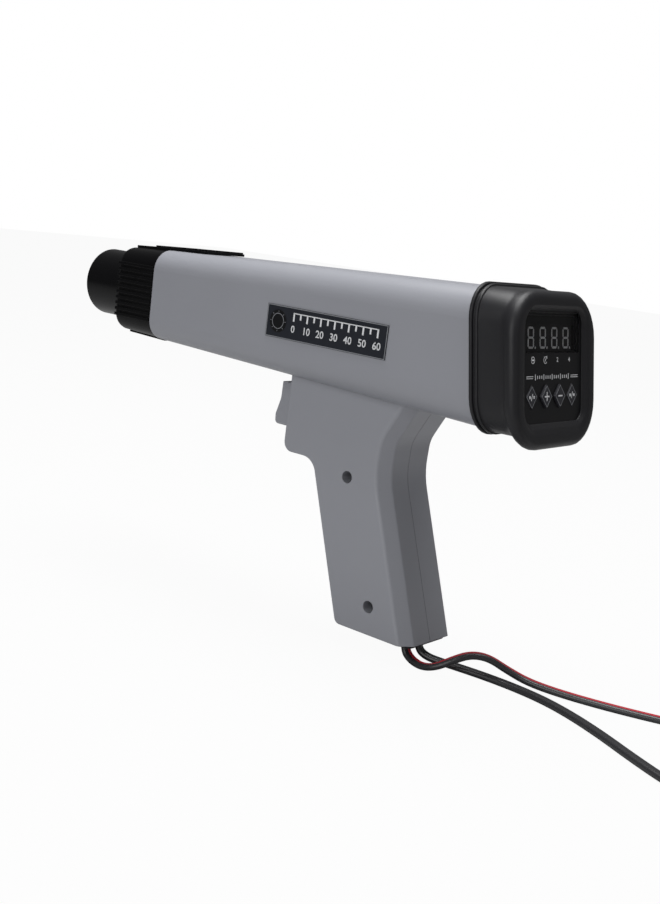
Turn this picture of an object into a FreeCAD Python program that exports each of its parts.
"""Timing light: a pistol-shaped strobe lamp for setting ignition timing, with its two leads.

Most pieces are drawn along the barrel: X runs from the lens at 0 to the display at 300, Y across it and
Z up from the barrel's middle line. Their Placement moves them to the document's origin, the middle of
the grip. The display's own pieces are drawn square to its tilted face. Lengths are in millimetres.
"""
import FreeCAD, Part
import math
import os

import Sketcher
from FreeCAD import Placement, Rotation, Vector

os.makedirs("parts", exist_ok=True)
doc = FreeCAD.newDocument("timing_light")

SIZES = {
    # where the barrel lies about the middle of the grip
    "lens_ahead": 216.0,
    "barrel_up": 95.0,
    # barrel: a rounded box that widens from the collar to the boot
    "collar_front": 35.0,
    "barrel_front": 65.3,
    "boot_seat": 273.6,
    "barrel_end": 282.4,
    "front_height": 48.0,
    "front_width": 56.0,
    "front_corner": 11.0,
    "rear_height": 61.0,
    "rear_width": 67.6,
    "rear_corner": 14.0,
    "case_wall": 2.2,
    "boot_rebate": 1.2,
    "fit": 0.15,
    "slide_gap": 0.3,
    # grip
    "grip_width": 40.0,
    "block_front": 163.0,
    "block_bottom": -65.0,
    "grip_front_top": 182.5,
    "grip_front_foot": 208.8,
    "grip_foot": -142.4,
    "grip_back_foot": 252.2,
    "grip_back_waist": 225.6,
    "waist_low": -66.0,
    "waist_high": -49.0,
    "grip_back_top": 241.0,
    "grip_top": -22.0,
    "back_facet_deep": 4.5,
    "back_facet_wide": 7.0,
    "back_edge": 2.5,
    # grip screws
    "screw_high_x": 204.8,
    "screw_high_z": -69.6,
    "screw_low_x": 227.2,
    "screw_low_z": -128.8,
    "screw_shank": 2.9,
    "screw_head": 5.4,
    "screw_sink": 9.0,
    "screw_well": 6.0,
    "boss": 9.0,
    # nose
    "nose_bore": 16.9,
    "nose_radius": 18.7,
    "nose_length": 66.0,
    "nose_lip": 2.0,
    "groove_wide": 1.0,
    "groove_deep": 0.4,
    "lens_rim": 3.0,
    "ring_length": 2.0,
    "collar_rib": 1.0,
    "rib_pitch": 3.1,
    "rib_count": 10,
    "pad_width": 31.0,
    "pad_rise": 1.0,
    "tongue_end": 89.0,
    "tongue_thick": 1.3,
    "ridge": 0.8,
    "ridge_pitch": 2.4,
    "ridge_count": 16,
    "spigot": 7.0,
    # strobe
    "bowl_front": 26.0,
    "bowl_depth": 22.0,
    "bowl_radius": 16.0,
    "bowl_wall": 0.8,
    "flash_radius": 2.5,
    "flash_length": 24.0,
    "socket_length": 9.0,
    "board_thick": 1.6,
    "board_width": 42.0,
    "board_top": -6.4,
    "board_front": 78.0,
    "board_back": 232.0,
    # trigger
    "trigger_width": 15.0,
    "trigger_front": 146.4,
    "trigger_top": -33.0,
    "trigger_bottom": -55.6,
    "trigger_back": 173.0,
    "trigger_travel": 4.5,
    "trigger_stop": 2.5,
    "spring_radius": 3.2,
    "spring_wire": 0.7,
    "switch_gap": 1.5,
    "plunger_radius": 1.2,
    # boot and display
    "face_tilt": 9.64,
    "boot_wall": 2.0,
    "lip_width": 1.6,
    "bezel_back": 300.3,
    "bezel_width": 73.0,
    "bezel_height": 69.3,
    "bezel_corner": 17.0,
    "bezel_front": 293.0,
    "waist_x": 290.0,
    "recess_width": 52.0,
    "recess_height": 50.0,
    "recess_corner": 6.0,
    "panel_x": 294.8,
    "panel_width": 56.6,
    "panel_height": 54.6,
    "panel_thick": 2.0,
    "tray_depth": 12.0,
    "tray_wall": 1.6,
    "window_width": 48.0,
    "window_top": 23.0,
    "window_foot": 5.4,
    "window_thick": 1.2,
    "window_ledge": 1.2,
    "digits_shift": -1.5,
    "digits_width": 43.0,
    "digits_height": 15.0,
    "display_board_at": -9.2,
    "key_pitch": 12.0,
    "key_shift": -1.0,
    "key_row": -13.5,
    "key_wide": 9.4,
    "key_high": 10.4,
    "key_gap": 0.25,
    "key_flange": 0.8,
    "key_stand": 0.35,
    "key_proud": 1.0,
    "key_stem": 1.6,
    "tact_side": 6.0,
    "tact_front": -5.6,
    "lamp_radius": 1.5,
    "lamp_pitch": 10.8,
    "lamp_row": 2.4,
    # name plate
    "plate_front": 151.8,
    "plate_length": 75.6,
    "plate_height": 16.0,
    "plate_thick": 0.5,
    "plate_middle": -0.7,
    # strain relief and leads
    "relief_front": 239.5,
    "relief_back": 251.0,
    "relief_width": 32.0,
    "relief_rim": 1.2,
    "lead_width": 5.0,
    "wire_width": 2.6,
    "coil_radius": 33.5,
    "coil_rise": 2.6,
    "coil_slack": 0.2,
    "clip_lift": 0.3,
    "sleeve_length": 12.0,
    # clips
    "clip_width": 12.0,
    "clamp_width": 16.0,
    "pin_at": 39.0,
    "pin_radius": 1.5,
    "pin_gap": 0.08,
    "cheek_radius": 5.2,
    "cheek_thick": 2.1,
    "cheek_gap": 0.2,
    "torsion_length": 3.2,
    "torsion_radius": 3.6,
    "core_at": 67.5,
    "core_radius": 9.0,
    "core_hole": 5.0,
    "core_length": 15.0,
    "jaw_gap": 0.2,
}

sheet = doc.addObject("Spreadsheet::Sheet", "Sizes")
for row, (alias, number) in enumerate(SIZES.items(), 1):
    sheet.set(f"A{row}", alias)
    sheet.set(f"B{row}", str(number))
    sheet.setAlias(f"B{row}", alias)
doc.recompute()


class Size:
    """A number that keeps the sheet formula it came from, so that a feature can be bound to it."""

    def __init__(self, value, formula):
        self.value = float(value)
        self.formula = formula

    def __float__(self):
        return self.value

    def __add__(self, other):
        return Size(self.value + float(other), f"({self.formula} + {formula_of(other)})")

    def __sub__(self, other):
        return Size(self.value - float(other), f"({self.formula} - {formula_of(other)})")

    def __mul__(self, other):
        return Size(self.value * float(other), f"({self.formula} * {formula_of(other)})")

    def __truediv__(self, other):
        return Size(self.value / float(other), f"({self.formula} / {formula_of(other)})")

    def __radd__(self, other):
        return Size(other, str(other)) + self

    def __rsub__(self, other):
        return Size(other, str(other)) - self

    def __neg__(self):
        return Size(-self.value, f"(-1 * {self.formula})")


def formula_of(size):
    return size.formula if isinstance(size, Size) else f"({size})"


class Named:
    """The sheet's cells as attributes."""


sizes = Named()
for alias in SIZES:
    setattr(sizes, alias, Size(sheet.get(alias), f"Sizes.{alias}"))


def cosine(angle):
    return Size(math.cos(math.radians(float(angle))), f"cos({angle.formula} * 1deg)")


def tangent(angle):
    return Size(math.tan(math.radians(float(angle))), f"tan({angle.formula} * 1deg)")


def bind(thing, name, size):
    """Set a property, and tie it to the sheet if its size comes from there."""
    setattr(thing, name, float(size))
    if isinstance(size, Size):
        thing.setExpression(name, size.formula)


nodes = []


def keep(thing, label, on_display=False):
    """Label a finished sub-part and place it: along the barrel, or square to the display's face."""
    thing.Label = label
    turn = Rotation(Vector(0, -1, 0), float(sizes.face_tilt) if on_display else 0.0)
    shift = (sizes.panel_x if on_display else 0.0) - sizes.lens_ahead
    thing.Placement = Placement(Vector(float(shift), 0, float(sizes.barrel_up)), turn)
    thing.setExpression("Placement.Base.x", shift.formula)
    thing.setExpression("Placement.Base.z", sizes.barrel_up.formula)
    if on_display:
        thing.setExpression("Placement.Rotation.Angle", sizes.face_tilt.formula)
    nodes.append(thing)
    return thing


# ---- sketches and features ----


def new_body(name):
    return doc.addObject("PartDesign::Body", name)


def sketch_on(body, role="XZ_Plane", offset=None, tilted=False):
    """A sketch on one of the body's own planes, moved along its normal; a tilted one faces as the display."""
    sketch = body.newObject("Sketcher::SketchObject", body.Name + "_sketch")
    plane = [feature for feature in body.Origin.OriginFeatures if feature.Role == role]
    sketch.AttachmentSupport = [(plane[0], "")]
    sketch.MapMode = "FlatFace"
    if offset is not None:
        angle = float(sizes.face_tilt) if tilted else 0.0
        sketch.AttachmentOffset = Placement(Vector(0, 0, float(offset)), Rotation(Vector(-1, 0, 0), angle))
        if isinstance(offset, Size):
            sketch.setExpression("AttachmentOffset.Base.z", offset.formula)
        if tilted:
            sketch.setExpression("AttachmentOffset.Rotation.Angle", sizes.face_tilt.formula)
    return sketch


def hold(sketch, kind, place, size):
    """One driving dimension of a sketch, tied to the sheet."""
    index = sketch.addConstraint(Sketcher.Constraint(kind, *place, float(size)))
    if isinstance(size, Size):
        sketch.setExpression(f"Constraints[{index}]", size.formula)


def fix_point(sketch, line, end, x, y):
    hold(sketch, "DistanceX", (-1, 1, line, end), x)
    hold(sketch, "DistanceY", (-1, 1, line, end), y)


def polygon(sketch, points):
    """A closed outline of straight sides, each corner held by its two coordinates."""
    corners = [Vector(float(x), float(y), 0) for x, y in points]
    first = sketch.GeometryCount
    for start, end in zip(corners, corners[1:] + corners[:1]):
        sketch.addGeometry(Part.LineSegment(start, end), False)
    for index, (x, y) in enumerate(points):
        before = first + (index - 1) % len(points)
        sketch.addConstraint(Sketcher.Constraint("Coincident", before, 2, first + index, 1))
        fix_point(sketch, first + index, 1, x, y)
    return sketch


def rectangle(sketch, left, right, foot, top):
    return polygon(sketch, [(left, foot), (right, foot), (right, top), (left, top)])


def rounded(sketch, half_width, half_height, radius, middle=0.0):
    """A rectangle with round corners about the sketch's vertical axis, its middle at a height."""
    ends = []
    for x_side, y_side in ((1, 1), (-1, 1), (-1, -1), (1, -1)):
        x_far, y_far = half_width * x_side, half_height * y_side + middle
        x_near, y_near = (half_width - radius) * x_side, (half_height - radius) * y_side + middle
        corner = [(x_far, y_near), (x_near, y_far)]
        ends.append((corner if x_side == y_side else corner[::-1], (x_near, y_near)))
    start_angle = [0, 90, 180, 270]
    first = sketch.GeometryCount
    for (corner, centre), angle in zip(ends, start_angle):
        circle = Part.Circle(Vector(float(centre[0]), float(centre[1]), 0), Vector(0, 0, 1), float(radius))
        sketch.addGeometry(Part.ArcOfCircle(circle, math.radians(angle), math.radians(angle + 90)), False)
    for index in range(4):
        here, there = ends[index][0][1], ends[(index + 1) % 4][0][0]
        line = Part.LineSegment(
            Vector(float(here[0]), float(here[1]), 0), Vector(float(there[0]), float(there[1]), 0)
        )
        sketch.addGeometry(line, False)
    for index in range(4):
        arc, after = first + index, first + 4 + index
        sketch.addConstraint(Sketcher.Constraint("Coincident", arc, 2, after, 1))
        sketch.addConstraint(Sketcher.Constraint("Coincident", after, 2, first + (index + 1) % 4, 1))
        fix_point(sketch, arc, 1, *ends[index][0][0])
        fix_point(sketch, arc, 2, *ends[index][0][1])
        hold(sketch, "Radius", (arc,), radius)
    return sketch


def disc(sketch, radius, x=0.0, y=0.0):
    index = sketch.addGeometry(
        Part.Circle(Vector(float(x), float(y), 0), Vector(0, 0, 1), float(radius)), False
    )
    hold(sketch, "Radius", (index,), radius)
    fix_point(sketch, index, 3, x, y)
    return sketch


def diamond(sketch, half_width, half_height, y, z):
    return polygon(
        sketch, [(y + half_width, z), (y, z + half_height), (y - half_width, z), (y, z - half_height)]
    )


def pad(body, sketch, length, midplane=False, reverse=False, cut=False):
    """Pad or pocket a sketch, and make sure that a pocket takes something away."""
    before = body.Shape.Volume if cut else 0.0
    feature = body.newObject("PartDesign::Pocket" if cut else "PartDesign::Pad", body.Name + "_feature")
    feature.Profile = sketch
    bind(feature, "Length", length)
    if midplane:
        feature.SideType = "Symmetric"
    feature.Reversed = reverse
    sketch.Visibility = False
    doc.recompute()
    if cut and body.Shape.Volume > before - 0.01:
        raise RuntimeError(f"a pocket in {body.Name} cuts nothing")
    return feature


def turned(body, points, role="XZ_Plane"):
    """A solid of revolution about the barrel's middle line, from (distance along it, radius) points."""
    sketch = polygon(sketch_on(body, role), points)
    feature = body.newObject("PartDesign::Revolution", body.Name + "_turned")
    feature.Profile = sketch
    feature.ReferenceAxis = (sketch, ["H_Axis"])
    feature.Angle = 360.0
    sketch.Visibility = False
    doc.recompute()
    return feature


def loft(body, sketches, cut=False):
    before = body.Shape.Volume if cut else 0.0
    kind = "PartDesign::SubtractiveLoft" if cut else "PartDesign::AdditiveLoft"
    feature = body.newObject(kind, body.Name + "_loft")
    feature.Profile = sketches[0]
    feature.Sections = sketches[1:]
    feature.Ruled = True
    doc.recompute()
    if cut and body.Shape.Volume > before - 0.01:
        raise RuntimeError(f"a loft in {body.Name} cuts nothing")
    return feature


def edges_where(body, test):
    """Names of the edges of a body's last feature whose middle passes a test."""
    names = []
    for index, edge in enumerate(body.Tip.Shape.Edges, 1):
        middle = edge.valueAt((edge.FirstParameter + edge.LastParameter) / 2)
        if test(edge, middle):
            names.append(f"Edge{index}")
    return names


def round_edges(body, radius, test):
    names = edges_where(body, test)
    if not names:
        raise RuntimeError(f"no edge of {body.Name} to round")
    feature = body.newObject("PartDesign::Fillet", body.Name + "_fillet")
    feature.Base = (body.Tip if feature.BaseFeature is None else feature.BaseFeature, names)
    bind(feature, "Radius", radius)
    doc.recompute()
    return feature


def repeat(body, features, sketch, axis, step, count):
    """Repeat features in a row along an axis of a sketch."""
    feature = body.newObject("PartDesign::LinearPattern", body.Name + "_row")
    feature.Originals = features
    feature.Direction = (sketch, [axis])
    feature.Mode = "Spacing"
    bind(feature, "Offset", step)
    feature.Occurrences = int(float(count))
    if isinstance(count, Size):
        feature.setExpression("Occurrences", count.formula)
    body.Tip = feature
    doc.recompute()
    return feature


def box(name, left, right, near, far, foot, top):
    """A Part::Box between two corners."""
    solid = doc.addObject("Part::Box", name)
    bind(solid, "Length", right - left)
    bind(solid, "Width", far - near)
    bind(solid, "Height", top - foot)
    solid.Placement.Base = Vector(float(left), float(near), float(foot))
    for axis, size in (("x", left), ("y", near), ("z", foot)):
        if isinstance(size, Size):
            solid.setExpression(f"Placement.Base.{axis}", size.formula)
    return solid


def rod(name, radius, length, x, y, z, along):
    """A Part::Cylinder from a point, along X, Y or Z."""
    solid = doc.addObject("Part::Cylinder", name)
    bind(solid, "Radius", radius)
    bind(solid, "Height", length)
    solid.Placement = Placement(Vector(float(x), float(y), float(z)), Rotation(Vector(0, 0, 1), along))
    for axis, size in (("x", x), ("y", y), ("z", z)):
        if isinstance(size, Size):
            solid.setExpression(f"Placement.Base.{axis}", size.formula)
    return solid


def joined(name, *solids):
    fuse = doc.addObject("Part::MultiFuse", name)
    fuse.Shapes = list(solids)
    return fuse


def less(name, base, tool):
    cut = doc.addObject("Part::Cut", name)
    cut.Base = base
    cut.Tool = tool
    return cut


def shared(name, *solids):
    common = doc.addObject("Part::MultiCommon", name)
    common.Shapes = list(solids)
    return common


ALONG_X = Vector(1, 0, 0)
ALONG_Y = Vector(0, 1, 0)
ALONG_Z = Vector(0, 0, 1)

# ---- the two halves of the case ----

widen_by = (sizes.rear_width - sizes.front_width) / 2 / (sizes.boot_seat - sizes.barrel_front)
rise_by = (sizes.rear_height - sizes.front_height) / 2 / (sizes.boot_seat - sizes.barrel_front)
tilt_cosine = cosine(sizes.face_tilt)
room = sizes.rear_width  # more than the barrel is wide: for cutters that reach past the case


def half_width_at(x):
    return sizes.front_width / 2 + (x - sizes.barrel_front) * widen_by


def half_height_at(x):
    return sizes.front_height / 2 + (x - sizes.barrel_front) * rise_by


def corner_at(x):
    grow = (sizes.rear_corner - sizes.front_corner) / (sizes.boot_seat - sizes.barrel_front)
    return sizes.front_corner + (x - sizes.barrel_front) * grow


def barrel_section(body, x, inset):
    """The barrel's upright section at a distance from the lens, drawn in by a wall or clearance."""
    sketch = sketch_on(body, "YZ_Plane", x)
    return rounded(sketch, half_width_at(x) - inset, half_height_at(x) - inset, corner_at(x) - inset)


def end_section(body, x, inset):
    """The section that the boot slides over: tilted as the display is, in from the barrel's sides."""
    half_width = sizes.rear_width / 2 - sizes.boot_rebate - inset
    half_height = (sizes.rear_height / 2 - sizes.boot_rebate - inset) / tilt_cosine
    sketch = sketch_on(body, "YZ_Plane", x, tilted=True)
    return rounded(sketch, half_width, half_height, sizes.rear_corner - sizes.boot_rebate - inset)


def grip_profile(body, inset):
    """The grip and its trigger block from the side, drawn in by a wall."""
    front = inset * 1.06
    return polygon(
        sketch_on(body, "XZ_Plane"),
        [
            (sizes.block_front + inset, sizes.grip_top),
            (sizes.block_front + inset, sizes.block_bottom + inset),
            (sizes.grip_front_top + front, sizes.block_bottom + inset),
            (sizes.grip_front_foot + front, sizes.grip_foot + inset),
            (sizes.grip_back_foot - front, sizes.grip_foot + inset),
            (sizes.grip_back_waist - inset, sizes.waist_low),
            (sizes.grip_back_waist + 0.6 - inset, sizes.waist_high),
            (sizes.grip_back_top - inset, sizes.grip_top),
        ],
    )


def near_line(x, z, far=3.0):
    """A test for an edge that runs across the grip through a point seen from the side."""
    return lambda edge, middle: math.hypot(
        middle.x - float(x), middle.z - float(z)
    ) < far and abs(middle.y) < 1


def grip_solid(name, inset, rounds):
    """The grip as a block of its side outline, its back corners cut to facets that follow the waist."""
    body = new_body(name)
    half_width = sizes.grip_width / 2 - inset
    pad(body, grip_profile(body, inset), half_width * 2, midplane=True)
    round_edges(body, 40.0, near_line(sizes.grip_back_waist - inset, sizes.waist_low))
    round_edges(body, 16.0, near_line(sizes.grip_back_waist + 0.6 - inset, sizes.waist_high))
    side_y, behind_x = float(half_width), float(sizes.grip_front_foot) + 8

    def on_back(edge, middle):
        level = float(sizes.grip_foot) + 8 < middle.z < float(sizes.grip_top) - 1
        return level and middle.x > behind_x and abs(abs(middle.y) - side_y) < 0.01

    back_edges = edges_where(body, on_back)
    facet = body.newObject("PartDesign::Chamfer", name + "_facet")
    facet.Base = (facet.BaseFeature, back_edges)
    facet.ChamferType = "Two distances"
    bind(facet, "Size", sizes.back_facet_wide)
    bind(facet, "Size2", sizes.back_facet_deep)
    doc.recompute()
    for x, z, radius in rounds:
        round_edges(body, radius, near_line(x, z))
    return body


def along_side(y, x_from, x_to, deepest):
    """A test for edges that follow the grip's side outline at a distance from its middle plane."""

    def test(edge, middle):
        level = deepest < middle.z < float(sizes.grip_top) - 1
        return level and x_from < middle.x < x_to and abs(abs(middle.y) - y) < 0.01 and edge.Length > 1

    return test


no_inset = sizes.case_wall * 0
barrel_form = new_body("barrel_form")
past_end = sizes.barrel_end + 12
loft(barrel_form, [barrel_section(barrel_form, x, no_inset) for x in (sizes.barrel_front, past_end)])
beyond = rounded(
    sketch_on(barrel_form, "YZ_Plane", sizes.boot_seat, tilted=True), room, room, sizes.rear_corner
)
pad(barrel_form, beyond, room, cut=True, reverse=True)
loft(barrel_form, [end_section(barrel_form, x, no_inset) for x in (sizes.boot_seat, sizes.barrel_end)])

barrel_core = new_body("barrel_core")
core_ends = (sizes.barrel_front - 1, past_end)
loft(barrel_core, [barrel_section(barrel_core, x, sizes.case_wall) for x in core_ends])

grip_form = grip_solid(
    "grip_form",
    no_inset,
    [
        (sizes.block_front, sizes.block_bottom, 5.0),
        (sizes.grip_front_top, sizes.block_bottom, 9.0),
        (sizes.grip_front_foot, sizes.grip_foot, 3.5),
    ],
)
grip_core = grip_solid("grip_core", sizes.case_wall, [])

half_grip, behind = float(sizes.grip_width) / 2, float(sizes.grip_front_foot) + 8
deepest = float(sizes.grip_foot) + 1
facet_start = half_grip - float(sizes.back_facet_wide)
round_edges(grip_form, sizes.back_edge, along_side(half_grip, behind, 300.0, deepest))
round_edges(grip_form, sizes.back_edge, along_side(facet_start, behind, 300.0, deepest))
case_form = joined("case_form", barrel_form, grip_form)
case_core = joined("case_core", barrel_core, grip_core)
case_skin = less("case_skin", case_form, case_core)

inside = sizes.grip_width / 2 - sizes.case_wall / 2  # half way into the grip's side walls
board_foot = sizes.board_top - sizes.board_thick
block_inside = sizes.block_front + sizes.case_wall
rail = sizes.case_wall * 0.7
spring_axis = sizes.trigger_bottom + 5.5
switch_axis = sizes.trigger_top - 5.5
spring_seat = sizes.trigger_back + 14
switch_front = sizes.trigger_back + sizes.trigger_travel + sizes.switch_gap
relief_middle = (sizes.relief_front + sizes.relief_back) / 2
neck_half = (sizes.relief_back - sizes.relief_front) / 2 - 2


def half_case(label, side):
    """One half of the case, with its board ledge, trigger rails, seats and screw bosses inside."""

    def across(name, left, right, inner, outer, foot, top):
        near, far = (inner, outer) if side > 0 else (-outer, -inner)
        return box(f"{label}_{name}", left, right, near, far, foot, top)

    zero = no_inset
    half = across("side", zero, sizes.bezel_back, zero, room, -room * 3, room)
    shell = shared(f"{label}_wall", case_skin, half)
    ledge = across("ledge", sizes.board_front, sizes.board_back, sizes.board_width / 2 - 1.5, room,
                   board_foot - 2, board_foot)
    stop = across("stop", sizes.board_back + 0.2, sizes.board_back + 2.2, sizes.board_width / 2 - 1.5, room,
                  board_foot - 2, sizes.board_top + 1)
    ribs = shared(f"{label}_ribs", case_form, joined(f"{label}_shelf", ledge, stop))
    top, foot = sizes.trigger_top + sizes.slide_gap, sizes.trigger_bottom - sizes.slide_gap
    rails = [
        across("top_rail", block_inside - 0.5, sizes.trigger_back, zero, inside, top, top + rail),
        across("foot_rail", block_inside - 0.5, sizes.trigger_back, zero, inside, foot - rail, foot),
        across("spring_wall", spring_seat, spring_seat + rail, zero, inside, foot - rail, spring_axis + 5),
        across("switch_shelf", switch_front, switch_front + 20, zero, inside,
               switch_axis - 4 - rail, switch_axis - 4),
    ]
    bosses = []
    for spot, x, z in (
        ("high", sizes.screw_high_x, sizes.screw_high_z), ("low", sizes.screw_low_x, sizes.screw_low_z)
    ):
        start = zero if side > 0 else -inside
        bosses.append(rod(f"{label}_{spot}_boss", sizes.boss / 2, inside, x, start, z, ALONG_Y))
    whole = joined(f"{label}_solid", shell, ribs, *rails, *bosses)

    cuts = [
        across("slot", sizes.block_front - 2, block_inside + 0.01, -zero,
               sizes.trigger_width / 2 + sizes.slide_gap,
               foot, top),
        across("cord_hole", relief_middle - neck_half - sizes.fit, relief_middle + neck_half + sizes.fit,
               -zero,
               sizes.relief_width / 2 - 4 + sizes.fit, sizes.grip_foot - 2,
               sizes.grip_foot + sizes.case_wall + 1),
    ]
    seat = -sizes.grip_width / 2 + sizes.screw_sink
    for spot, x, z in (
        ("high", sizes.screw_high_x, sizes.screw_high_z), ("low", sizes.screw_low_x, sizes.screw_low_z)
    ):
        if side > 0:
            pilot = sizes.screw_shank / 2 + 0.05
            cuts.append(rod(f"{label}_{spot}_pilot", pilot, -seat, x, -0.5, z, ALONG_Y))
        else:
            well_start = -sizes.grip_width / 2 - 1
            cuts.append(rod(f"{label}_{spot}_well", sizes.screw_well / 2, seat - well_start, x, well_start,
                            z, ALONG_Y))
            cuts.append(rod(f"{label}_{spot}_hole", sizes.screw_shank / 2 + 0.2, 1 - seat, x, seat - 0.5,
                            z, ALONG_Y))
    return keep(less(label, whole, joined(f"{label}_cuts", *cuts)), label)


left_shell = half_case("left_shell", -1)
right_shell = half_case("right_shell", 1)

screw_parts = []
screw_seat = -sizes.grip_width / 2 + sizes.screw_sink
for spot, x, z in (
    ("high", sizes.screw_high_x, sizes.screw_high_z), ("low", sizes.screw_low_x, sizes.screw_low_z)
):
    screw_parts.append(
        rod(f"{spot}_screw_head", sizes.screw_head / 2, 2.2, x, screw_seat - 2.2, z, ALONG_Y)
    )
    screw_parts.append(
        rod(f"{spot}_screw_shank", sizes.screw_shank / 2, -screw_seat + 9, x, screw_seat, z, ALONG_Y)
    )
keep(joined("grip_screws", *screw_parts), "grip_screws")

plate = new_body("name_plate")
plate_back = sizes.plate_front + sizes.plate_length
plate_sketch = polygon(
    sketch_on(plate, "XY_Plane", sizes.plate_middle - sizes.plate_height / 2),
    [
        (sizes.plate_front, -half_width_at(sizes.plate_front) - sizes.plate_thick),
        (plate_back, -half_width_at(plate_back) - sizes.plate_thick),
        (plate_back, -half_width_at(plate_back)),
        (sizes.plate_front, -half_width_at(sizes.plate_front)),
    ],
)
pad(plate, plate_sketch, sizes.plate_height)
keep(plate, "name_plate")

# ---- nose: collar, tube, lens and strobe ----

collar = new_body("front_collar")
# The collar stands a little in from the barrel, which leaves the barrel's rim to see.
collar_step = sizes.fit * 3
nose_round = 2.5
for start, finish in ((60, 30), (30, 0)):
    ends = []
    for angle in (start, finish):
        turn = math.radians(angle)
        x = sizes.collar_front + nose_round * (1 - math.cos(math.pi / 2 - turn) if angle else 1)
        ends.append(barrel_section(collar, x, collar_step + nose_round * (1 - math.cos(turn))))
    loft(collar, ends)
back_of_round = sizes.collar_front + nose_round
loft(collar, [barrel_section(collar, x, collar_step) for x in (back_of_round, sizes.barrel_front)])
rib_length = sizes.barrel_front - sizes.collar_front - 3
rib_row = sizes.rib_pitch * (sizes.rib_count - 1) / 2
rib_sketch = sketch_on(collar, "YZ_Plane", sizes.collar_front + 2)
rib_reach = half_width_at(sizes.collar_front) + sizes.collar_rib
rectangle(rib_sketch, -rib_reach, rib_reach, -rib_row - sizes.rib_pitch / 4, -rib_row + sizes.rib_pitch / 4)
rib = pad(collar, rib_sketch, rib_length)
repeat(collar, [rib], rib_sketch, "V_Axis", sizes.rib_pitch, sizes.rib_count)

tongue_top = half_height_at(sizes.tongue_end) + sizes.slide_gap + sizes.tongue_thick
collar_top = half_height_at(sizes.collar_front)
tongue_sketch = polygon(
    sketch_on(collar, "XZ_Plane"),
    [
        (sizes.collar_front + 2, collar_top - 3),
        (sizes.barrel_front, collar_top - 3),
        (sizes.barrel_front, half_height_at(sizes.barrel_front) + sizes.slide_gap),
        (sizes.tongue_end, half_height_at(sizes.tongue_end) + sizes.slide_gap),
        (sizes.tongue_end, tongue_top),
        (sizes.collar_front + 2, collar_top + sizes.pad_rise),
    ],
)
pad(collar, tongue_sketch, sizes.pad_width, midplane=True)
ridge_sketch = sketch_on(collar, "XZ_Plane")
ridge_back = sizes.tongue_end - 0.4
ridge_run = sizes.tongue_end - sizes.collar_front - 2
ridge_slope = (tongue_top - collar_top - sizes.pad_rise) / ridge_run
polygon(
    ridge_sketch,
    [
        (ridge_back, tongue_top - 0.4),
        (ridge_back - 0.3, tongue_top + sizes.ridge),
        (ridge_back - sizes.ridge_pitch / 2,
         tongue_top + sizes.ridge - ridge_slope * sizes.ridge_pitch / 2),
        (ridge_back - sizes.ridge_pitch / 2 - 0.3, tongue_top - 0.5),
    ],
)
slope_line = ridge_sketch.addGeometry(
    Part.LineSegment(Vector(float(ridge_back), float(tongue_top), 0),
                     Vector(float(ridge_back) - 10, float(tongue_top) - 0.5, 0)),
    True,
)
fix_point(ridge_sketch, slope_line, 1, ridge_back, tongue_top)
fix_point(ridge_sketch, slope_line, 2, ridge_back - 10, tongue_top - ridge_slope * 10)
ridge = pad(collar, ridge_sketch, sizes.pad_width - 1, midplane=True)
repeat(collar, [ridge], ridge_sketch, "Axis0", sizes.ridge_pitch, sizes.ridge_count)
foot_pad = polygon(
    sketch_on(collar, "XZ_Plane"),
    [
        (sizes.collar_front + 2, 3 - collar_top),
        (sizes.barrel_front, 3 - collar_top),
        (sizes.barrel_front, -half_height_at(sizes.barrel_front) - sizes.pad_rise),
        (sizes.collar_front + 2, -collar_top - sizes.pad_rise),
    ],
)
pad(collar, foot_pad, sizes.pad_width, midplane=True)
spigot_end = sizes.barrel_front + sizes.spigot
spigot_sections = []
for x in (sizes.barrel_front, spigot_end):
    spigot_sections.append(barrel_section(collar, x, sizes.case_wall + sizes.fit))
loft(collar, spigot_sections)
tube_hole = disc(sketch_on(collar, "YZ_Plane", sizes.collar_front - 1), sizes.nose_radius + sizes.fit)
pad(collar, tube_hole, sizes.spigot + rib_length + 10, cut=True, reverse=True)
flange_radius = sizes.nose_radius + 1.6
flange_hole = disc(sketch_on(collar, "YZ_Plane", sizes.nose_length - 2), flange_radius + sizes.fit)
pad(collar, flange_hole, sizes.spigot + 5, cut=True, reverse=True)
keep(collar, "front_collar")

nose = new_body("nose_tube")
groove_front = sizes.collar_front - sizes.groove_wide - 0.2
turned(
    nose,
    [
        (no_inset, sizes.nose_bore - 1.6),
        (no_inset, sizes.nose_radius),
        (groove_front, sizes.nose_radius),
        (groove_front, sizes.nose_radius - sizes.groove_deep),
        (groove_front + sizes.groove_wide, sizes.nose_radius - sizes.groove_deep),
        (groove_front + sizes.groove_wide, sizes.nose_radius),
        (sizes.nose_length - 2, sizes.nose_radius),
        (sizes.nose_length - 2, flange_radius),
        (sizes.nose_length, flange_radius),
        (sizes.nose_length, sizes.nose_bore),
        (sizes.nose_lip, sizes.nose_bore),
        (sizes.nose_lip, sizes.nose_bore - 1.6),
    ],
)
round_edges(nose, 0.8, lambda edge, middle: abs(middle.x) < 0.01 and edge.Length > 110)
keep(nose, "nose_tube")

# the lens is the cap of a ball, cut by its rim
dome = sizes.nose_lip - 0.5
dome_radius = float(sizes.nose_bore - 1.6) ** 2 / 2 / float(dome)
lens_ball = doc.addObject("Part::Sphere", "lens_ball")
lens_ball.Radius = dome_radius
lens_ball.Placement.Base = Vector(0.5 + dome_radius, 0, 0)
lens_back = sizes.nose_lip + sizes.lens_rim
lens_rim = rod("lens_rim", sizes.nose_bore - sizes.fit, lens_back, 0.0, 0.0, 0.0, ALONG_X)
keep(shared("lens", lens_ball, lens_rim), "lens")

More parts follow.
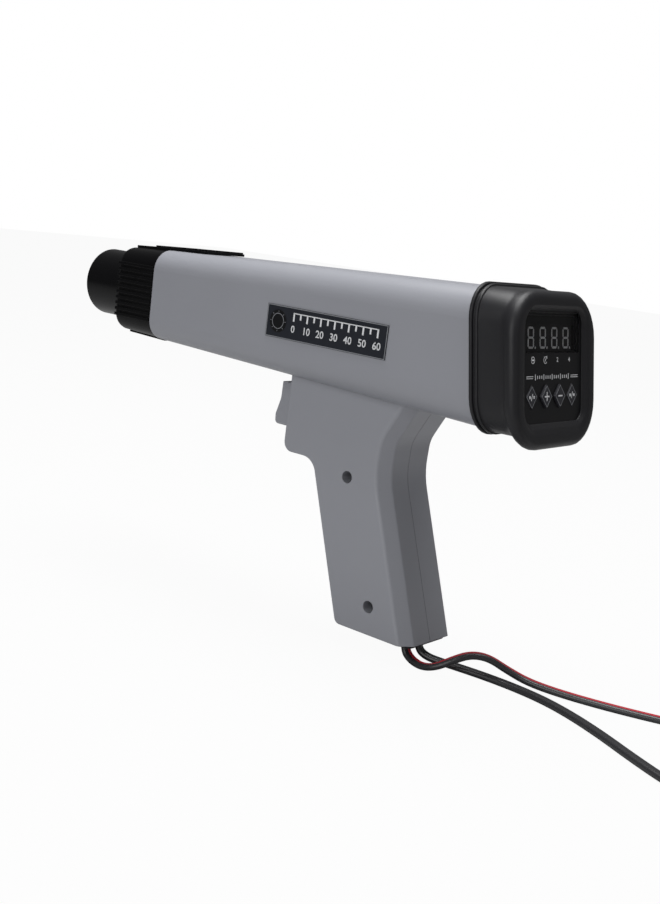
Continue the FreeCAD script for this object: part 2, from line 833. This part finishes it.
ring = new_body("lens_ring")
ring_front = lens_back + 0.05
turned(
    ring,
    [
        (ring_front, sizes.nose_bore - 2.4),
        (ring_front, sizes.nose_bore - 0.1),
        (ring_front + sizes.ring_length, sizes.nose_bore - 0.1),
        (ring_front + sizes.ring_length, sizes.nose_bore - 2.4),
    ],
)
keep(ring, "lens_ring")

bowl = new_body("reflector")
inner_line, outer_line = [], []
for share in (1.0, 0.88, 0.76, 0.64, 0.52, 0.4, 0.3):
    depth = sizes.bowl_depth * (1 - share * share)
    inner_line.append((sizes.bowl_front + depth, sizes.bowl_radius * share))
    outer_line.append((sizes.bowl_front + depth + sizes.bowl_wall * (1 - share * 0.7),
                       sizes.bowl_radius * share + sizes.bowl_wall))
turned(bowl, inner_line + outer_line[::-1])
keep(bowl, "reflector")

neck_x = inner_line[-1][0]
neck_radius = inner_line[-1][1] - 0.1
socket = new_body("tube_socket")
socket_front = neck_x + sizes.bowl_wall + 0.1
turned(
    socket,
    [
        (neck_x - 1, sizes.flash_radius + 0.05),
        (neck_x - 1, neck_radius),
        (socket_front, neck_radius),
        (socket_front, neck_radius + 4),
        (socket_front + sizes.socket_length, neck_radius + 4),
        (socket_front + sizes.socket_length, no_inset),
        (socket_front + 5, no_inset),
        (socket_front + 5, sizes.flash_radius + 0.05),
    ],
)
keep(socket, "tube_socket")

flash = new_body("flash_tube")
flash_back = socket_front + 5
flash_front = flash_back - sizes.flash_length
turned(
    flash,
    [
        (flash_front, no_inset),
        (flash_front, sizes.flash_radius * 0.4),
        (flash_front + 1.2, sizes.flash_radius),
        (flash_back, sizes.flash_radius),
        (flash_back, no_inset),
    ],
)
keep(flash, "flash_tube")

# ---- boards and power parts in the barrel ----

half_board = sizes.board_width / 2
board = box(
    "board_blank", sizes.board_front, sizes.board_back, -half_board, half_board, board_foot, sizes.board_top
)


def on_board(name, *solids):
    keep(joined(name, *solids), name)


board_cut = less("main_board", board, box("board_notch", sizes.board_front - 1, sizes.board_front + 8,
                                          -6.0, 6.0,
                                              board_foot - 1, sizes.board_top + 1))
keep(board_cut, "main_board")
top = sizes.board_top
on_board(
    "trigger_coil",
    box("coil_cradle", sizes.board_front + 12, sizes.board_front + 30, no_inset - 6, no_inset + 6, top,
        top + 3),
    rod("coil_core", 5.5, 14.0, sizes.board_front + 14, 0.0, top + 7, ALONG_X),
)
on_board(
    "storage_capacitor",
    rod("near_can", 8.5, 36.0, sizes.board_front + 38, -10.5, top + 8.5, ALONG_X),
    rod("far_can", 8.5, 36.0, sizes.board_front + 38, 10.5, top + 8.5, ALONG_X),
)
on_board(
    "transformer",
    box("core_front", sizes.board_front + 82, sizes.board_front + 87, no_inset - 13, no_inset + 13, top,
        top + 22),
    box("core_back", sizes.board_front + 101, sizes.board_front + 106, no_inset - 13, no_inset + 13, top,
        top + 22),
    box("core_top", sizes.board_front + 84, sizes.board_front + 104, no_inset - 13, no_inset + 13,
        top + 18, top + 22),
    rod("winding", 8.0, 16.0, sizes.board_front + 86, 0.0, top + 9, ALONG_X),
)
chips = []
for name, x, y, long, wide, high in (
    ("controller", 122.0, -8.0, 14.0, 10.0, 3.0),
    ("regulator", 122.0, 10.0, 10.0, 9.0, 12.0),
    ("relay", 140.0, 6.0, 10.0, 16.0, 8.0),
    ("connector", 140.0, -14.0, 8.0, 12.0, 7.0),
):
    start = sizes.board_front + x
    chips.append(
        box(name, start, start + long, no_inset + y - wide / 2, no_inset + y + wide / 2, top, top + high)
    )
on_board("board_parts", *chips)

# ---- trigger and its switch ----

trigger = new_body("trigger")
trigger_side = polygon(
    sketch_on(trigger, "XZ_Plane"),
    [
        (sizes.trigger_front, sizes.trigger_top),
        (sizes.trigger_front - 0.2, sizes.trigger_top - 9),
        (sizes.trigger_front - 2.8, sizes.trigger_bottom + 5),
        (sizes.trigger_front - 2.4, sizes.trigger_bottom),
        (sizes.trigger_back, sizes.trigger_bottom),
        (sizes.trigger_back, sizes.trigger_top),
    ],
)
pad(trigger, trigger_side, sizes.trigger_width, midplane=True)
round_edges(trigger, 14.0, near_line(sizes.trigger_front - 0.2, sizes.trigger_top - 9))
round_edges(trigger, 2.2, near_line(sizes.trigger_front - 2.4, sizes.trigger_bottom))
round_edges(trigger, 2.5, near_line(sizes.trigger_front - 2.8, sizes.trigger_bottom + 5))
round_edges(trigger, 1.2, lambda edge, middle: middle.x < float(sizes.trigger_front) + 1)
stop_sketch = sketch_on(trigger, "YZ_Plane", block_inside + sizes.fit)
stop_half = sizes.trigger_width / 2 + sizes.trigger_stop
rectangle(stop_sketch, -stop_half, stop_half, sizes.trigger_bottom + 3, sizes.trigger_top - 3)
pad(trigger, stop_sketch, 2.5)
guide_sketch = disc(
    sketch_on(trigger, "YZ_Plane", sizes.trigger_back), sizes.spring_radius - 0.9, 0.0, spring_axis
)
pad(trigger, guide_sketch, 3.0)
keep(trigger, "trigger")

switch_back = switch_front + 20
switch_box = box("switch_box", switch_front, switch_back, no_inset - 3.2, no_inset + 3.2, switch_axis - 4,
                 switch_axis + 4)
plunger_hole = rod(
    "plunger_hole", sizes.plunger_radius + 0.2, 9.0, switch_front - 0.5, 0.0, switch_axis, ALONG_X
)
keep(less("trigger_switch", switch_box, plunger_hole), "trigger_switch")
plunger_length = switch_front + 2.5 - sizes.trigger_back
plunger = new_body("switch_plunger")
plunger_disc = disc(
    sketch_on(plunger, "YZ_Plane", sizes.trigger_back), sizes.plunger_radius, 0.0, switch_axis
)
pad(plunger, plunger_disc, plunger_length)
keep(plunger, "switch_plunger")


def coil_spring(name, start, length, turns, mean_radius, wire, along):
    """A helical spring: a round wire swept along a helix that starts at a point and runs along an axis."""
    pitch = (length - wire) / turns
    helix = Part.makeHelix(pitch, length - wire, mean_radius)
    climb = pitch / (2 * math.pi * mean_radius)
    section = Part.Wire(Part.makeCircle(wire / 2, Vector(mean_radius, 0, 0), Vector(0, 1, climb)))
    solid = helix.makePipeShell([section], True, True)
    solid.translate(Vector(0, 0, wire / 2))
    spring = doc.addObject("Part::Feature", name)
    spring.Shape = solid
    spring.Placement = Placement(start, Rotation(Vector(0, 0, 1), along))
    nodes.append(spring)
    return spring


coil_spring(
    "trigger_spring",
    Vector(
        float(sizes.trigger_back - sizes.lens_ahead) + 0.4,
        0,
        float(spring_axis + sizes.barrel_up),
    ),
    float(spring_seat - sizes.trigger_back) - 0.6,
    5,
    float(sizes.spring_radius),
    float(sizes.spring_wire),
    ALONG_X,
)

# ---- rear boot and display ----

boot = new_body("rear_boot")


def boot_section(x, half_width, half_height, corner):
    return rounded(
        sketch_on(boot, "YZ_Plane", x, tilted=True), half_width, half_height / tilt_cosine, corner
    )


body_half_width = sizes.rear_width / 2 - sizes.boot_rebate + sizes.fit + sizes.boot_wall
body_half_height = sizes.rear_height / 2 - sizes.boot_rebate + sizes.fit + sizes.boot_wall
lip_width = body_half_width + 1.5
lip_height = body_half_height + 1.5
boot_corner = sizes.rear_corner + 1
bezel_half = (sizes.bezel_width / 2, sizes.bezel_height / 2)
spread = [
    (sizes.boot_seat, lip_width, lip_height, boot_corner + 1.5),
    (sizes.boot_seat + sizes.lip_width, lip_width, lip_height, boot_corner + 1.5),
]
loft(boot, [boot_section(*spot) for spot in spread])
second = [
    (sizes.boot_seat + sizes.lip_width, body_half_width, body_half_height, boot_corner),
    (sizes.waist_x, body_half_width - 0.6, body_half_height - 0.3, boot_corner),
]
loft(boot, [boot_section(*spot) for spot in second])
third = [
    (sizes.boot_seat + sizes.lip_width + 1.1, lip_width - 0.5, lip_height - 0.5, boot_corner + 1),
    (sizes.boot_seat + sizes.lip_width + 2.5, lip_width - 0.5, lip_height - 0.5, boot_corner + 1),
]
loft(boot, [boot_section(*spot) for spot in third])
swell = [
    (sizes.waist_x, body_half_width - 0.6, body_half_height - 0.3, boot_corner),
    (sizes.bezel_front, bezel_half[0] - 0.8, bezel_half[1] - 0.8, sizes.bezel_corner),
    (sizes.bezel_front + 2, bezel_half[0], bezel_half[1], sizes.bezel_corner),
    (sizes.bezel_back, bezel_half[0], bezel_half[1], sizes.bezel_corner),
]
for here, there in zip(swell, swell[1:]):
    loft(boot, [boot_section(*here), boot_section(*there)])
tilt_tangent = float(tangent(sizes.face_tilt))
back_line = float(sizes.bezel_back)
round_edges(boot, 3.6, lambda edge, middle: abs(middle.x + middle.z * tilt_tangent - back_line) < 0.05)
recess = rounded(
    sketch_on(boot, "YZ_Plane", sizes.panel_x - 0.1, tilted=True),
    sizes.recess_width / 2,
    sizes.recess_height / 2,
    sizes.recess_corner,
)
pad(boot, recess, 12.0, cut=True, reverse=True)
round_edges(
    boot,
    1.8,
    lambda edge, middle: abs(middle.x + middle.z * tilt_tangent - back_line) < 0.05 and abs(middle.y) < 27,
)
tray_room = rounded(
    sketch_on(boot, "YZ_Plane", sizes.panel_x, tilted=True),
    sizes.panel_width / 2 + sizes.fit,
    sizes.panel_height / 2 + sizes.fit,
    sizes.recess_corner + sizes.fit,
)
pad(boot, tray_room, sizes.tray_depth + 2, cut=True)
seat_sections = []
for x in (sizes.boot_seat - 2, sizes.barrel_end + 0.2):
    half_width = sizes.rear_width / 2 - sizes.boot_rebate + sizes.fit
    half_height = sizes.rear_height / 2 - sizes.boot_rebate + sizes.fit
    seat_sections.append(boot_section(x, half_width, half_height, sizes.rear_corner - sizes.boot_rebate))
loft(boot, seat_sections, cut=True)
keep(boot, "rear_boot")

panel = new_body("display_frame")
outline = rounded(
    sketch_on(
        panel, "YZ_Plane", -sizes.tray_depth
    ), sizes.panel_width / 2, sizes.panel_height / 2, sizes.recess_corner
)
pad(panel, outline, sizes.tray_depth)
hollow = rounded(
    sketch_on(panel, "YZ_Plane", -sizes.panel_thick),
    sizes.panel_width / 2 - sizes.tray_wall,
    sizes.panel_height / 2 - sizes.tray_wall,
    sizes.recess_corner - sizes.tray_wall,
)
pad(panel, hollow, sizes.tray_depth, cut=True)
half_window = sizes.window_width / 2
pane_place = sketch_on(panel, "YZ_Plane", -sizes.window_thick)
rectangle(pane_place, -half_window, half_window, sizes.window_foot, sizes.window_top)
pad(panel, pane_place, 5.0, cut=True, reverse=True)
sight = sketch_on(panel, "YZ_Plane", -sizes.panel_thick - 1)
ledge = sizes.window_ledge
rectangle(
    sight, ledge - half_window, half_window - ledge, sizes.window_foot + ledge, sizes.window_top - ledge
)
pad(panel, sight, 5.0, cut=True, reverse=True)
key_spots = [sizes.key_shift + sizes.key_pitch * (index - 1.5) for index in range(4)]
for spot in key_spots:
    hole = sketch_on(panel, "YZ_Plane", -sizes.panel_thick - 1)
    diamond(
        hole, sizes.key_wide / 2 + sizes.key_gap, sizes.key_high / 2 + sizes.key_gap, spot, sizes.key_row
    )
    pad(panel, hole, 5.0, cut=True, reverse=True)
post_length = -sizes.display_board_at - sizes.panel_thick
for y_side in (-1, 1):
    for z_side in (-1, 1):
        post = sketch_on(panel, "YZ_Plane", sizes.display_board_at)
        disc(post, 2.0, (sizes.panel_width / 2 - 4.5) * y_side, (sizes.panel_height / 2 - 4.5) * z_side)
        pad(panel, post, post_length + 0.5)
keep(panel, "display_frame", on_display=True)

pane = new_body("display_window")
pane_sketch = sketch_on(pane, "YZ_Plane", -sizes.window_thick)
gap = sizes.fit
rectangle(
    pane_sketch, gap - half_window, half_window - gap, sizes.window_foot + gap, sizes.window_top - gap
)
pad(pane, pane_sketch, sizes.window_thick)
keep(pane, "display_window", on_display=True)

back_board = new_body("display_board")
back_board_sketch = rounded(
    sketch_on(back_board, "YZ_Plane", sizes.display_board_at - sizes.board_thick),
    sizes.panel_width / 2 - sizes.tray_wall - sizes.fit,
    sizes.panel_height / 2 - sizes.tray_wall - sizes.fit,
    sizes.recess_corner - sizes.tray_wall,
)
pad(back_board, back_board_sketch, sizes.board_thick)
keep(back_board, "display_board", on_display=True)

digits = new_body("digit_display")
digits_sketch = sketch_on(digits, "YZ_Plane", sizes.display_board_at)
digits_middle = (sizes.window_top + sizes.window_foot) / 2 - 2
rectangle(
    digits_sketch,
    sizes.digits_shift - sizes.digits_width / 2,
    sizes.digits_shift + sizes.digits_width / 2,
    digits_middle - sizes.digits_height / 2,
    digits_middle + sizes.digits_height / 2,
)
pad(digits, digits_sketch, -sizes.display_board_at - sizes.panel_thick - 0.1)
keep(digits, "digit_display", on_display=True)

for name, spot, stand in zip(
    ("mode_key", "plus_key", "minus_key", "function_key"),
    key_spots,
    (sizes.key_stand, sizes.key_proud, sizes.key_proud, sizes.key_stand),
):
    key = new_body(name)
    flange_back = -sizes.panel_thick - sizes.fit - 1.2
    flange = sketch_on(key, "YZ_Plane", flange_back)
    wide, high = sizes.key_wide / 2 + sizes.key_flange, sizes.key_high / 2 + sizes.key_flange
    pad(key, diamond(flange, wide, high, spot, sizes.key_row), 1.2)
    cap = sketch_on(key, "YZ_Plane", flange_back)
    pad(key, diamond(cap, sizes.key_wide / 2, sizes.key_high / 2, spot, sizes.key_row), stand - flange_back)
    cap_top = float(stand)
    round_edges(key, 0.3, lambda edge, middle: abs(middle.x - cap_top) < 0.01)
    stem = disc(sketch_on(key, "YZ_Plane", flange_back), sizes.key_stem, spot, sizes.key_row)
    pad(key, stem, flange_back - sizes.tact_front + 0.6, reverse=True)
    keep(key, name, on_display=True)

tacts, tact_holes, lamps = [], [], []
for index, spot in enumerate(key_spots):
    half = sizes.tact_side / 2
    board_at = sizes.display_board_at
    tacts.append(box(f"tact_{index}", board_at, sizes.tact_front, spot - half, spot + half,
                     sizes.key_row - half, sizes.key_row + half))
    tact_holes.append(rod(f"tact_hole_{index}", sizes.key_stem + 0.2, 3.0, sizes.tact_front - 2.2, spot,
                          sizes.key_row, ALONG_X))
    lamp_y = sizes.digits_shift + sizes.lamp_pitch * (index - 1.5)
    lamps.append(rod(f"lamp_{index}", sizes.lamp_radius, -board_at - sizes.panel_thick - 0.2, board_at,
                     lamp_y,
                     sizes.lamp_row, ALONG_X))
keep(less("key_switches", joined("tact_boxes", *tacts), joined("tact_wells", *tact_holes)), "key_switches",
     on_display=True)
keep(joined("indicator_lamps", *lamps), "indicator_lamps", on_display=True)

# ---- strain relief under the butt ----

relief = new_body("cord_relief")
relief_half = (sizes.relief_back - sizes.relief_front) / 2
rim_sketch = sketch_on(relief, "XY_Plane", sizes.grip_foot - sizes.relief_rim)
rectangle(
    rim_sketch, sizes.relief_front, sizes.relief_back, -sizes.relief_width / 2, sizes.relief_width / 2
)
pad(relief, rim_sketch, sizes.relief_rim)
round_edges(
    relief, 4.0, lambda edge, middle: edge.Length < 2 and abs(middle.x - float(sizes.relief_back)) < 0.1
)
neck_sketch = sketch_on(relief, "XY_Plane", sizes.grip_foot - 0.5)
neck_side = sizes.relief_width / 2 - 4
rectangle(neck_sketch, relief_middle - neck_half, relief_middle + neck_half, -neck_side, neck_side)
pad(relief, neck_sketch, sizes.case_wall + 1.5)
keep(relief, "cord_relief")

# ---- leads ----

# A lead's points are chosen by hand, in the part's own frame: the middle of the lead, butt to coil to clip.
floor_line = -55.3  # height of a lead's middle where it lies flat, below the butt
POWER_ROUTE = [
    (27.6, -8.0, -48.6),
    (28.0, -8.0, -52.3),
    (33.0, -9.2, -54.9),
    (40.6, -11.0, -55.4),
    (48.0, -10.6, -53.4),
    (54.0, -6.2, -49.4),
    (59.6, -0.2, -46.2),
    (66.4, 5.0, -46.6),
    (74.0, 10.4, -51.0),
    (83.4, 14.4, -54.2),
    (96.0, 17.4, -55.2),
    (112.0, 20.5, -55.3),
    (131.0, 25.8, -55.3),
    (151.0, 33.0, -55.3),
    (172.0, 39.4, -55.3),
    (194.0, 42.9, -55.3),
    (217.0, 43.4, -55.3),
    (240.0, 42.6, -55.3),
    (264.0, 40.2, -55.3),
    (288.0, 37.6, -55.3),
    (306.0, 36.9, -55.3),
]
POWER_TAIL = [
    (333.0, 37.0, -52.6),
    (342.0, 37.5, -53.2),
    (351.0, 37.0, -54.1),
]
RED_WIRE = [
    (363.0, 38.6, -54.3),
    (372.0, 41.4, -55.6),
    (384.0, 43.4, -56.5),
    (398.0, 41.8, -56.5),
    (409.0, 34.4, -56.5),
    (414.4, 22.0, -56.5),
    (415.0, 6.0, -56.5),
    (411.4, -10.0, -56.5),
    (403.0, -22.4, -56.4),
    (391.0, -29.6, -54.6),
    (377.0, -31.0, -49.2),
    (361.0, -29.75, -43.7),
]
BLACK_WIRE = [
    (363.0, 35.4, -54.3),
    (374.0, 35.4, -55.6),
    (387.0, 35.6, -56.5),
    (399.0, 31.2, -56.5),
    (406.4, 20.6, -56.5),
    (407.2, 7.4, -56.5),
    (402.4, -5.2, -56.5),
    (391.8, -12.6, -55.8),
    (380.0, -9.6, -53.0),
    (371.6, 2.6, -48.4),
    (361.0, 8.25, -43.7),
]
PICKUP_ROUTE = [
    (30.6, -1.6, -48.6),
    (31.2, -1.4, -52.0),
    (36.2, -0.4, -54.3),
    (44.4, 1.8, -54.9),
    (54.0, 3.9, -55.2),
    (66.0, 5.2, -55.3),
    (81.0, 5.6, -55.4),
    (98.0, 3.6, -55.3),
    (115.0, -1.4, -55.3),
    (134.0, -9.6, -55.3),
    (153.0, -19.6, -55.3),
    (172.0, -28.6, -55.3),
    (187.0, -33.0, -55.3),
    (200.0, -34.0, -55.3),
]
PICKUP_TAIL = [
    (228.0, -34.0, -52.6),
    (243.0, -34.6, -51.8),
    (258.0, -34.2, -50.2),
    (270.5, -31.0, -48.0),
    (278.0, -23.4, -45.6),
    (277.6, -14.6, -43.6),
    (270.0, -10.7, -42.2),
    (259.0, -10.5, -41.7),
]


def lead(label, points, width):
    """A lead's straight runs joined by arcs that touch both, each as large as its two runs allow."""
    radius = float(width) / 2
    spots = [Vector(*point) for point in points]
    edges, radii, here, length = [], [], spots[0], 0.0
    for before, corner, after in zip(spots, spots[1:], spots[2:]):
        arriving, leaving = corner - before, after - corner
        reach = 0.45 * min(arriving.Length, leaving.Length)
        arriving.normalize()
        leaving.normalize()
        turn = arriving.getAngle(leaving)
        bend = reach / math.tan(turn / 2)
        start, end = corner - arriving * reach, corner + leaving * reach
        inward = leaving - arriving
        inward.normalize()
        middle = corner + inward * (bend / math.cos(turn / 2) - bend)
        edges += [Part.LineSegment(here, start).toShape(), Part.Arc(start, middle, end).toShape()]
        length += (start - here).Length + bend * turn
        here = end
        radii.append(round(bend, 1))
    edges.append(Part.LineSegment(here, spots[-1]).toShape())
    length += (spots[-1] - here).Length
    section = Part.Wire(Part.makeCircle(radius, spots[0], spots[1] - spots[0]))
    tube = doc.addObject("Part::Feature", label)
    tube.Shape = Part.Wire(edges).makePipeShell([section], True, False)
    nodes.append(tube)
    filled = tube.Shape.Volume / (math.pi * radius**2 * length)
    print(
        f"{label}: {length:.1f} mm long, bend radii {radii}, volume over section times length {filled:.3f}"
    )


def coil(label, x, y):
    """The outer shape of a lead wound in two layers of three turns: a flat ring with bevelled edges."""
    body = new_body(label)
    outer = sizes.coil_radius + sizes.lead_width / 2 + 0.3
    inner = outer - sizes.lead_width * 3 - 1.4
    foot = sizes.lead_width / -2 + floor_line
    top = foot + sizes.lead_width + sizes.coil_rise + sizes.coil_slack
    bevel = sizes.lead_width * 0.32
    sketch = polygon(
        sketch_on(body, "XZ_Plane"),
        [
            (inner + bevel, foot),
            (outer - bevel, foot),
            (outer, foot + bevel),
            (outer, top - bevel),
            (outer - bevel, top),
            (inner + bevel, top),
            (inner, top - bevel),
            (inner, foot + bevel),
        ],
    )
    feature = body.newObject("PartDesign::Revolution", label + "_turned")
    feature.Profile = sketch
    feature.ReferenceAxis = (sketch, ["V_Axis"])
    feature.Angle = 360.0
    body.Placement.Base = Vector(x, y, 0)
    nodes.append(body)


lead("power_lead", POWER_ROUTE, sizes.lead_width)
coil("power_coil", 321.0, 3.0)
lead("power_tail", POWER_TAIL, sizes.lead_width)
lead("red_wire", RED_WIRE, sizes.wire_width)
lead("black_wire", BLACK_WIRE, sizes.wire_width)
lead("pickup_lead", PICKUP_ROUTE, sizes.lead_width)
coil("pickup_coil", 214.0, 0.0)
lead("pickup_tail", PICKUP_TAIL, sizes.lead_width)

sleeve = new_body("lead_split")
sleeve_radius = sizes.lead_width / 2 + 1
pad(sleeve, disc(sketch_on(sleeve, "YZ_Plane"), sleeve_radius), sizes.sleeve_length)
round_edges(sleeve, 1.0, lambda edge, middle: edge.Length > 15)
sleeve.Placement.Base = Vector(351.0, 37.0, floor_line + 1)
nodes.append(sleeve)

# ---- clips on the leads' ends: each lies on a coil, on its side, with its hinge pin upright ----

CLIP_OUTLINE = [
    (0.0, 12.0),
    (0.0, 15.5),
    (10.0, 16.5),
    (31.0, 11.0),
    (47.0, 10.5),
    (60.0, 11.0),
    (71.0, 7.0),
    (76.0, 2.0),
    (76.0, 0.2),
    (63.5, 0.2),
    (61.0, 4.6),
    (52.0, 6.2),
    (28.0, 6.2),
    (11.0, 12.0),
]
CLAMP_OUTLINE = [
    (0.0, 8.0),
    (0.0, 13.0),
    (14.0, 14.0),
    (34.0, 10.0),
    (48.0, 14.0),
    (82.0, 14.0),
    (85.0, 11.0),
    (85.0, 0.2),
    (50.0, 0.2),
    (46.0, 6.4),
    (30.0, 6.4),
    (13.0, 8.0),
]


def through_pin(body, radius, x):
    """Cuts a round hole along the hinge pin's direction, right through a clip."""
    far = sizes.clamp_width
    hole = disc(sketch_on(body, "XY_Plane", far / -2 - 1), radius, x, 0.0)
    pad(body, hole, far + 2, cut=True, reverse=True)


def clip_half(label, outline, width, layer, side):
    """Half of a spring clip: its outline seen along the pin, and two cheeks that the pin passes."""
    body = new_body(label)
    side_view = polygon(sketch_on(body, "XY_Plane"), [(x, y * side) for x, y in outline])
    pad(body, side_view, width, midplane=True)
    outer = width / 2 - (sizes.cheek_thick + sizes.cheek_gap) * layer
    neck_half = sizes.cheek_radius * 0.85
    for foot in (outer - sizes.cheek_thick, -outer):
        pad(body, disc(sketch_on(body, "XY_Plane", foot), sizes.cheek_radius, sizes.pin_at, 0.0),
            sizes.cheek_thick)
        neck = sketch_on(body, "XY_Plane", foot)
        low, high = sorted((0.0, 8.0 * side))
        rectangle(neck, sizes.pin_at - neck_half, sizes.pin_at + neck_half, low, high)
        pad(body, neck, sizes.cheek_thick)
    through_pin(body, sizes.pin_radius + sizes.pin_gap, sizes.pin_at)
    nodes.append(body)
    return body


def spring_clip(name, outline, width, place):
    """A clip's two halves on their pin, and the torsion spring between the inner cheeks."""
    pin = new_body(f"{name}_pin")
    pad(pin, disc(sketch_on(pin, "XY_Plane", width / -2), sizes.pin_radius, sizes.pin_at, 0.0), width)
    spring = new_body(f"{name}_spring")
    coil_foot = sketch_on(spring, "XY_Plane", sizes.torsion_length / -2)
    pad(spring, disc(coil_foot, sizes.torsion_radius, sizes.pin_at, 0.0), sizes.torsion_length)
    through_pin(spring, sizes.pin_radius + sizes.pin_gap * 2, sizes.pin_at)
    nodes.extend([pin, spring])
    halves = [
        clip_half(f"{name}_body", outline, width, 0, 1), clip_half(f"{name}_jaw", outline, width, 1, -1)
    ]
    for piece in (pin, spring, *halves):
        piece.Placement = place
    return halves


coil_top = floor_line + float(sizes.lead_width / 2 + sizes.coil_rise + sizes.coil_slack)
clip_base = coil_top + float(sizes.clip_lift)
turned_back = Rotation(Vector(0, 0, 1), 180)
for name, y in (("negative_clip", 22.0), ("positive_clip", -16.0)):
    clip_place = Placement(Vector(361.0, y, clip_base + float(sizes.clip_width) / 2), turned_back)
    spring_clip(name, CLIP_OUTLINE, sizes.clip_width, clip_place)

clamp_place = Placement(Vector(259.0, 0.0, clip_base + float(sizes.clamp_width) / 2), turned_back)
clamp_halves = spring_clip("pickup_clamp", CLAMP_OUTLINE, sizes.clamp_width, clamp_place)
for half, core_name, side in zip(clamp_halves, ("pickup_core_fixed", "pickup_core_moving"), (1, -1)):
    through_pin(half, sizes.core_radius + sizes.fit, sizes.core_at)
    core = new_body(core_name)
    core_foot = sketch_on(core, "XY_Plane", sizes.core_length / -2)
    pad(core, disc(core_foot, sizes.core_radius, sizes.core_at, 0.0), sizes.core_length)
    through_pin(core, sizes.core_hole, sizes.core_at)
    other_side = sketch_on(core, "XY_Plane", sizes.clamp_width / -2)
    low, high = sorted((sizes.jaw_gap * side, (sizes.core_radius + 1) * -side), key=float)
    rectangle(
        other_side, sizes.core_at - sizes.core_radius - 1, sizes.core_at + sizes.core_radius + 1, low, high
    )
    pad(core, other_side, sizes.clamp_width, cut=True, reverse=True)
    core.Placement = clamp_place
    nodes.append(core)

doc.recompute()

for thing in doc.Objects:
    if "Invalid" in thing.State or "Error" in thing.State:
        raise RuntimeError(f"{thing.Name} did not rebuild: {thing.State}")

for node in nodes:
    shape = node.Shape
    if shape.isNull() or not shape.isValid() or not shape.Solids:
        raise RuntimeError(f"{node.Label} has no sound solid")
    shape.exportStep(f"parts/{node.Label}.step")
    print(f"{node.Label}: {len(shape.Solids)} solid(s), {shape.Volume:.0f} mm3")
